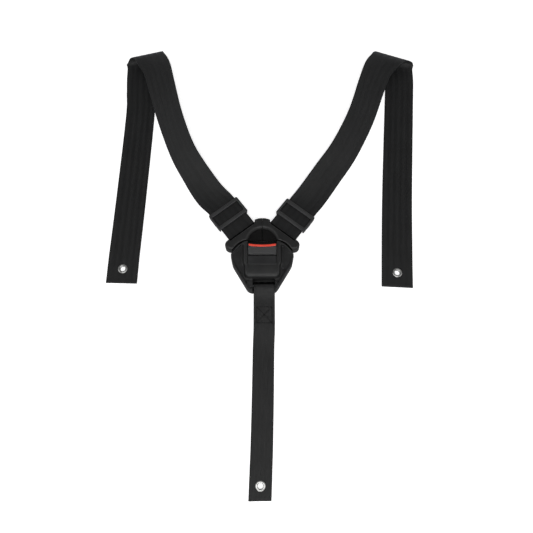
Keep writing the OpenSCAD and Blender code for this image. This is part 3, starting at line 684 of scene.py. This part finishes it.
def adjusters():
    x, y, z = grid = sample((-21.5, -12, -3.4), (21.5, 12, 5.5), 0.35)
    over = lay + web_t / 2 + 1.15
    under = -lay - web_t / 2 + 0.75
    hw, hl = glide_w / 2, glide_l / 2
    rim = box2(x, y, 0, 0, hw, hl, 1.7)
    side = both(both(rim, hw - glide_side - np.abs(x)), slab(z, -2.6, 4.9), 0.9)
    # Frame over the webbing: two broad outer bars and the side walls' upper edges, all softly rounded
    window = box2(x, y, 0, 0, hw - glide_side, hl - glide_bar, 1.2)
    bar = both(both(rim, -window), slab(z, over + 0.2, over + 2.6), 1.0)
    middle = both(np.abs(y) - glide_middle / 2, slab(z, under - 2.4, under - 0.2), 1.2)
    middle = both(middle, np.abs(x) - hw, 1.0)
    # Fine grip teeth along the middle bar's upper face
    teeth = both(np.abs(np.mod(x, 1.6) - 0.8) - 0.35, under - 0.45 - z) + 0 * y
    middle = without(middle, both(teeth, np.abs(x) - 18.0), 0.15)
    body = either(either(side, bar, 1.1), middle, 0.8)
    points, faces = surface_net(body, *grid)
    points = relax(points, faces)
    c, s = math.cos(pin_angle), math.sin(pin_angle)
    for side, at in (("left", left_glide_at), ("right", right_glide_at)):
        px, py = points[:, 0], points[:, 1] + at
        placed = np.stack([pin_x + c * px + s * py, pin_y - s * px + c * py, points[:, 2] + pin_z], 1)
        placed, quads = mirror_x(placed, faces) if side == "left" else (placed, faces)
        obj = make(f"{side}_slide", placed, quads.tolist(), glide_black, f"{side}_adjuster",
                   [f"{side}_adjuster"])
        mark_wear_and_highlight(obj)


# ---------------------------------------------------------------- webbing
# Route points as in the CAD: x, y, z, the angle of the width from X, and how far the outer edge rises

left_run = [
    [67, 83, 14.5, -38, -12], [84.8, 109, 18, -33, -28], [101.8, 139, 22, -27, -32],
    [118.2, 183, 25, -21, -29], [131.6, 230, 26, -19, -20], [139, 256, 25, -17, -14]]
left_fold = [
    [149.5, 275.5, 21.3, -12, -8], [153.6, 282.6, 17.5, -10, -6], [157.3, 286, 11.5, -10, -4],
    [161.5, 283, 4.5, -9, -2], [164.8, 275, 1.4, -7, 0]]
left_fall = [
    [165.3, 258, 0.8, -3, 0], [164, 235, 0.8, 0, 0], [162.6, 198, 0.8, 1, 0],
    [166.6, 83, 0.8, 1, 0], [169.7, 9, 1.4, 1.5, 0], [170.2, -4, 1.4, 1.5, 0], [171, -30, 1.4, 1.5, 0]]
right_run = [
    [62, 80, 14.5, -37, -8], [82, 108, 18, -33, -18], [103.5, 139, 22, -29, -24],
    [125.5, 183, 25, -22, -24], [142, 230, 25, -19, -18], [151.5, 255, 24, -18, -14]]
right_fold = [
    [163.5, 272.5, 21.3, -17, -8], [170.6, 280.4, 17.2, -15, -6], [176.4, 284, 11, -15, -4],
    [181.5, 280, 4.5, -13, -2], [184.2, 271, 1.4, -9, 0]]
right_fall = [
    [185, 256, 0.8, -5, 0], [183.5, 235, 0.8, -4, 0], [180.4, 198, 0.8, -3, 0],
    [171, 83, 0.8, -3, 0], [165.8, 5, 1.4, -3, 0], [165, -8, 1.4, -3, 0], [163.5, -35, 1.4, -3, 0]]
crotch_run = [
    [crotch_x, -86, 3.4, 0, 0], [1.6, -112, 0.9, 0, 0], [0.9, -165, 0.8, 0.6, 0],
    [-0.2, -220, 0.9, 1, 0], [-1, -243, 1.4, 1, 0], [-1.2, -250, 1.4, 1, 0],
    [-2.1, -276, 1.4, 1, 0]]
crotch_end_y = -84


def along_pin(d, z):
    return [pin_x + d * math.sin(pin_angle), pin_y + d * math.cos(pin_angle), z, -math.degrees(pin_angle), 0]


def shoulder_route(glide_at, run, fold, fall):
    arc = [math.radians(a) for a in range(-90, 91, 18)]
    end = (2 * np.array(fall[-1]) - np.array(fall[-2])).tolist()
    return ([along_pin(glide_at + 21, pin_z - lay + 0.9), along_pin(glide_at + 20, pin_z - lay + 0.9),
             along_pin(glide_at - 8, pin_z - lay + 0.9), along_pin(11, pin_z - lay + 0.6),
             along_pin(5, pin_z - wrap_r + 0.6)]
            + [along_pin(-wrap_r * math.cos(a), pin_z + wrap_r * math.sin(a)) for a in arc]
            + [along_pin(5, pin_z + wrap_r - 0.6), along_pin(11, pin_z + lay + 1.1),
               along_pin(glide_at - 8, pin_z + lay + 1.0), along_pin(glide_at + 14, pin_z + lay + 1.0)]
            + run + fold + fall + [end])


def crotch_route():
    arc = [math.radians(a) for a in range(-90, 91, 18)]
    end = (2 * np.array(crotch_run[-1]) - np.array(crotch_run[-2])).tolist()
    tail = [(crotch_end_y - 1, 1.7), (crotch_end_y, 1.7), (-62, 4.3), (-48, 5.6),
            (bar_y - 5, bar_z - bar_wrap_r + 0.2)]
    wrap = [(bar_y + bar_wrap_r * math.cos(a), bar_z + bar_wrap_r * math.sin(a)) for a in arc]
    out = [(bar_y - 5, bar_z + bar_wrap_r - 0.5), (-48, 7.6), (-62, 5.9)]
    return [[crotch_x, y, z, 0, 0] for y, z in tail + wrap + out] + crotch_run + [end]


def smooth_route(route, steps):
    """Points of the smooth curve through a route's points."""
    p = np.array(route, float)
    t = (np.arange(steps) / steps)[:, None]
    rows = []
    for a, b, c, d in zip(p, p[1:], p[2:], p[3:]):
        rows.append(0.5 * (2 * b + (c - a) * t + (2 * a - 5 * b + 4 * c - d) * t ** 2
                           + (3 * b - a - 3 * c + d) * t ** 3))
    return np.concatenate(rows + [p[-2:-1]])


def webbing(name, route, width, material, side, body, replaced, hole, painted_shade_at):
    """Sweeps a flat ribbon with rolled edges and shallow lengthwise ribs along a route."""
    r = smooth_route(route, 15)
    n = len(r)
    centre = r[:, :3]
    ahead, behind = np.minimum(np.arange(n) + 1, n - 1), np.maximum(np.arange(n) - 1, 0)
    tangent = centre[ahead] - centre[behind]
    tangent /= np.linalg.norm(tangent, axis=1)[:, None]
    turn, roll = np.radians(r[:, 3]), np.radians(r[:, 4])
    wide = np.stack([np.cos(turn) * np.cos(roll), np.sin(turn) * np.cos(roll), np.sin(roll)], 1)
    normal = np.cross(wide, tangent)
    size = np.linalg.norm(normal, axis=1)[:, None]
    reach, up = wide * width / 2 / size, normal / size
    # Cross-section: the edge rolls round over the last 0.8 mm, and five panels swell a little
    edge = 0.8 / (width / 2)
    inner = np.linspace(-1 + edge, 1 - edge, 27)
    lead = -(1 - edge + edge * np.cos(np.linspace(0, math.pi / 2, 5)[:-1]))
    u = np.concatenate([lead, inner, -lead[::-1]])
    beyond = np.clip((np.abs(u) - (1 - edge)) / edge, 0, 1)
    half = web_t / 2 * np.sqrt(np.clip(1 - beyond ** 2, 0, 1))
    ribs = 0.05 * np.cos(math.tau * 2.5 * u) * (beyond == 0)
    ring_u = np.concatenate([u, u[-2:0:-1]])
    upper = half - 0.05 * (beyond == 0) + ribs
    lift = np.concatenate([upper, -upper[-2:0:-1]])
    m = len(ring_u)
    points = (centre[:, None] + reach[:, None] * ring_u[None, :, None] + up[:, None] * lift[None, :, None])
    points = points.reshape(-1, 3)
    i, k = np.meshgrid(np.arange(n - 1), np.arange(m), indexing="ij")
    i, k = i.ravel(), k.ravel()
    faces = np.stack([i * m + k, i * m + (k + 1) % m, (i + 1) * m + (k + 1) % m, (i + 1) * m + k], 1)
    length = np.concatenate([[0], np.cumsum(np.linalg.norm(np.diff(centre, axis=0), axis=1))])
    caps = [list(range(m - 1, -1, -1)), list(range((n - 1) * m, n * m))]
    if side > 0:
        faces = faces[:, ::-1]
        caps = [c[::-1] for c in caps]
    else:
        points = points * [-1, 1, 1]
    obj = make(name, points, faces.tolist() + caps, material, body, replaced)
    mesh = obj.data
    loops = np.empty(len(mesh.loops), int)
    mesh.loops.foreach_get("vertex_index", loops)
    ring, slot = loops // m, loops % m
    web = np.stack([ring_u[slot] * width / 2 * MM, length[ring] * MM], 1)
    near = np.minimum(length, length[-1] - length)[ring] * MM
    mesh.uv_layers.new(name="web").data.foreach_set("uv", web.ravel().astype(np.float32))
    mesh.uv_layers.new(name="ends").data.foreach_set(
        "uv", np.stack([near, 0 * near], 1).ravel().astype(np.float32))
    cut_hole(obj, hole, hole_r * MM)
    # Painted shade: the faces that the plastic shades get the near-black webbing material
    obj.data.materials.append(painted_shade_web)
    for face in obj.data.polygons:
        if painted_shade_at(*(face.center / MM)):
            face.material_index = 1
    return obj, float(length[-1])


def at_jaw(x, y, z):
    """Where a shoulder strap leaves its tongue: the band that gets painted shade."""
    d = (abs(x) - pin_x) * math.sin(pin_angle) + (y - pin_y) * math.cos(pin_angle)
    return z > pin_z and 2.0 < d < 6.5


def behind_bar(x, y, z):
    """The side of the crotch strap's loop that faces into the buckle, which gets painted shade."""
    return y > bar_y + 0.2


def cut_hole(obj, centre, radius):
    """Punches the round hole for an eyelet."""
    bm = bmesh.new()
    bmesh.ops.create_cone(bm, cap_ends=True, segments=48, radius1=radius, radius2=radius, depth=0.01,
                          matrix=Matrix.Translation(centre))
    mesh = bpy.data.meshes.new("punch")
    bm.to_mesh(mesh)
    bm.free()
    punch = bpy.data.objects.new("punch", mesh)
    bpy.context.scene.collection.objects.link(punch)
    cut = obj.modifiers.new("hole", "BOOLEAN")
    cut.object, cut.operation, cut.solver = punch, "DIFFERENCE", "EXACT"
    bpy.context.view_layer.update()
    done = bpy.data.meshes.new_from_object(obj.evaluated_get(bpy.context.evaluated_depsgraph_get()))
    obj.modifiers.clear()
    obj.data = done
    bpy.data.objects.remove(punch)


def hole_centre(node):
    low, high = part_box(node)
    return (low + high) / 2


def straps():
    """The three straps; returns their lengths in millimetres."""
    made = []
    for side, sign, glide_at, run, fold, fall in (
            ("left", -1, left_glide_at, left_run, left_fold, left_fall),
            ("right", 1, right_glide_at, right_run, right_fold, right_fall)):
        route = shoulder_route(glide_at, run, fold, fall)
        obj, length = webbing(f"{side}_shoulder_webbing", route, shoulder_w, shoulder_web, sign,
                              f"{side}_strap",
                              [f"{side}_shoulder_strap", f"{side}_strap_back_run"],
                              hole_centre(f"{side}_strap_eyelet"), at_jaw)
        made.append(length)
    obj, length = webbing("crotch_webbing", crotch_route(), crotch_w, crotch_web, 1, "crotch_strap",
                          ["crotch_strap"], hole_centre("crotch_eyelet"), behind_bar)
    return made + [length]


def lathe(profile, segments):
    """Closed ring from a closed profile of radius and height."""
    n = len(profile)
    angle = np.arange(segments) * math.tau / segments
    r, h = np.array(profile).T
    points = np.stack([np.outer(np.cos(angle), r), np.outer(np.sin(angle), r),
                       np.broadcast_to(h, (segments, n))], 2).reshape(-1, 3)
    i, k = np.meshgrid(np.arange(segments), np.arange(n), indexing="ij")
    i, k = i.ravel(), k.ravel()
    j = (i + 1) % segments
    return points, np.stack([i * n + k, j * n + k, j * n + (k + 1) % n, i * n + (k + 1) % n], 1)


def eyelets():
    """Rolled nickel eyelets: a domed flange, a turned-in lip and the barrel through the webbing."""
    half = web_t / 2
    mid, reach = (eyelet_r + eyelet_flange_r) / 2, (eyelet_flange_r - eyelet_r) / 2
    top = [(mid + reach * math.cos(a), half + 0.12 + 0.76 * math.sin(a)) for a in np.linspace(0, math.pi, 15)]
    barrel = [(eyelet_r + 0.08, -half - washer_t), (eyelet_r + barrel_t, -half - washer_t)]
    flange = [(eyelet_r + barrel_t, half + 0.02), (eyelet_flange_r - 0.15, half + 0.02)]
    profile = barrel + flange + top
    points, faces = lathe(profile, 72)
    for node, body in (("left_strap_eyelet", "left_strap"), ("right_strap_eyelet", "right_strap"),
                       ("crotch_eyelet", "crotch_strap")):
        low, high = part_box(node)
        base = np.array([(low.x + high.x) / 2, (low.y + high.y) / 2, low.z]) / MM + [0, 0, half + washer_t]
        make(node.replace("_eyelet", "_grommet"), points + base, faces.tolist(), nickel, body,
             [node])


def stitches():
    """Lockstitches of the box and cross, each a short plump thread lying on the doubled webbing."""
    low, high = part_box("crotch_stitching")
    centre = np.array([(low.x + high.x) / 2, (low.y + high.y) / 2, 0]) / MM
    hw, hl = box_hw, box_hl
    loose_end = (hw + 2.3, -hl - 1.2)
    lines = [((-hw, -hl), (hw, -hl)), ((hw, -hl), (hw, hl)), ((hw, hl), (-hw, hl)), ((-hw, hl), (-hw, -hl)),
             ((-hw, -hl), (hw, hl)), ((hw, -hl), (-hw, hl)), (loose_end, (hw, -hl))]
    points, faces = [], []
    rng = np.random.default_rng(7)
    sides, rings = 8, 9
    for (ax, ay), (bx, by) in lines:
        length = math.hypot(bx - ax, by - ay)
        count = max(1, round(length / stitch_length))
        ux, uy = (bx - ax) / length, (by - ay) / length
        for i in range(count):
            mid = (i + 0.5) / count * length
            long = length / count * 0.46
            wobble = rng.normal(0, 0.05)
            base = len(points)
            for t in np.linspace(-1, 1, rings):
                radius = thread_r * math.sqrt(max(0.02, 1 - abs(t) ** 3))
                at = mid + t * long
                for a in np.linspace(0, math.tau, sides + 1)[:-1]:
                    w = radius * math.cos(a) + wobble
                    h = 0.16 * (1 - t * t) + radius * 0.55 * math.sin(a) - 0.06
                    points.append((ax + ux * at - uy * w, ay + uy * at + ux * w, h))
            for q in range(rings - 1):
                near, far = base + q * sides, base + (q + 1) * sides
                for k in range(sides):
                    after = (k + 1) % sides
                    faces.append([near + k, near + after, far + after, far + k])
            faces.append([base + k for k in range(sides - 1, -1, -1)])
            faces.append([base + (rings - 1) * sides + k for k in range(sides)])
    # Tilted with the strap, and lifted on to its upper face
    x, y, z = np.array(points).T
    c, s = math.cos(box_tilt), math.sin(box_tilt)
    placed = np.stack([x, y * c - z * s, y * s + z * c], 1)
    placed += centre + [0, 0, (low.z + high.z) / 2 / MM + stitch_lift]
    obj = make("box_stitch", placed, faces, black_thread, "crotch_strap", ["crotch_stitching"])
    bm = bmesh.new()
    bm.from_mesh(obj.data)
    bmesh.ops.recalc_face_normals(bm, faces=bm.faces)
    bm.to_mesh(obj.data)
    bm.free()


rear_cover()
front_cover()
button()
red_strip()
tongues()
adjusters()
lengths = straps()
eyelets()
stitches()

# CAD pieces that stay: steel and the hidden plastic get their own finishes
finishes = {
    "cover_screws": zinc, "crotch_bar": black_steel, "latch_leaf": spring_steel, "latch_rivets": zinc,
    "ejector": inner_black, "ejector_springs": spring_steel,
    "left_tongue_plate": zinc, "right_tongue_plate": zinc,
    "left_webbing_pin": zinc, "right_webbing_pin": zinc,
    "left_eyelet_washer": nickel, "right_eyelet_washer": nickel, "crotch_eyelet_washer": nickel}
for name, material in finishes.items():
    mesh = nodes[name].data
    if not mesh.materials:
        mesh.materials.append(material)
    for slot in nodes[name].material_slots:
        slot.material = material

# ---------------------------------------------------------------- floor, light and camera

low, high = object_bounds()
s = Shader("studio_floor")
where = s.add("TexCoord").outputs["Object"]
paper = s.noise(where, 40.0, 3.0, 0.5)
s.surface(Base_Color=s.mix(s.ranged(paper, 0.3, 0.7, 0.0, 1.0), grey(0.9), grey(0.93)), Roughness=0.9,
          Specular_IOR_Level=0.1, Emission_Color=(1, 1, 1, 1), Emission_Strength=0.62)
bm = bmesh.new()
bmesh.ops.create_grid(bm, x_segments=8, y_segments=8, size=8.0)
floor_mesh = bpy.data.meshes.new("floor")
bm.to_mesh(floor_mesh)
bm.free()
floor_mesh.materials.append(s.mat)
floor = bpy.data.objects.new("floor", floor_mesh)
floor.location = (0, 0, low.z - 0.0002)
bpy.context.scene.collection.objects.link(floor)
# Gloss shows the dim room under the floor's level in place of the lit paper
floor.visible_glossy = False


def softbox(name, place, target, size, power):
    light = bpy.data.lights.new(name, "AREA")
    light.shape, light.size, light.size_y, light.energy = "RECTANGLE", size[0], size[1], power
    obj = bpy.data.objects.new(name, light)
    obj.location = place
    obj.rotation_euler = (Vector(target) - Vector(place)).to_track_quat("-Z", "Y").to_euler()
    bpy.context.scene.collection.objects.link(obj)


softbox("overhead", (0.0, -0.42, 1.5), (0.0, -0.05, 0.0), (1.2, 0.55), 7)
softbox("front", (0.0, -1.25, 0.95), (0.0, 0.0, 0.0), (1.3, 0.5), 7.5)
softbox("left_side", (-1.3, -0.25, 0.9), (0.0, 0.0, 0.0), (0.9, 1.0), 4.2)
softbox("right_side", (1.3, -0.25, 0.9), (0.0, 0.0, 0.0), (0.9, 1.0), 3.8)
world = bpy.data.worlds.new("studio")
bpy.context.scene.world = world
world.use_nodes = True
# Pale wall all round, dimmer overhead and below the floor's level
sky = world.node_tree
aim = sky.nodes.new("ShaderNodeTexCoord")
height = sky.nodes.new("ShaderNodeSeparateXYZ")
shade = sky.nodes.new("ShaderNodeMapRange")
sky.links.new(aim.outputs["Generated"], height.inputs[0])
sky.links.new(height.outputs["Z"], shade.inputs[0])
for i, value in enumerate((0.25, 0.55, 0.75, 0.16)):
    shade.inputs[i + 1].default_value = value
below = sky.nodes.new("ShaderNodeMapRange")
sky.links.new(height.outputs["Z"], below.inputs[0])
for i, value in enumerate((-0.1, 0.05, 0.3, 1.0)):
    below.inputs[i + 1].default_value = value
product = sky.nodes.new("ShaderNodeMath")
product.operation = "MULTIPLY"
sky.links.new(shade.outputs[0], product.inputs[0])
sky.links.new(below.outputs[0], product.inputs[1])
sky.links.new(product.outputs[0], sky.nodes["Background"].inputs["Strength"])
sky.nodes["Background"].inputs["Color"].default_value = (1, 1, 1, 1)
bpy.context.scene.view_settings.view_transform = "Standard"

lens = bpy.data.cameras.new("camera")
lens.sensor_width, lens.angle = 36.0, math.radians(50)
camera = bpy.data.objects.new("camera", lens)
bpy.context.scene.collection.objects.link(camera)
target_x, target_y, tilt, distance = 0.0051, -0.0084, math.radians(16.5), 0.701
camera.location = (target_x, target_y - distance * math.sin(tilt), distance * math.cos(tilt))
camera.rotation_euler = (tilt, 0, 0)
bpy.context.scene.camera = camera
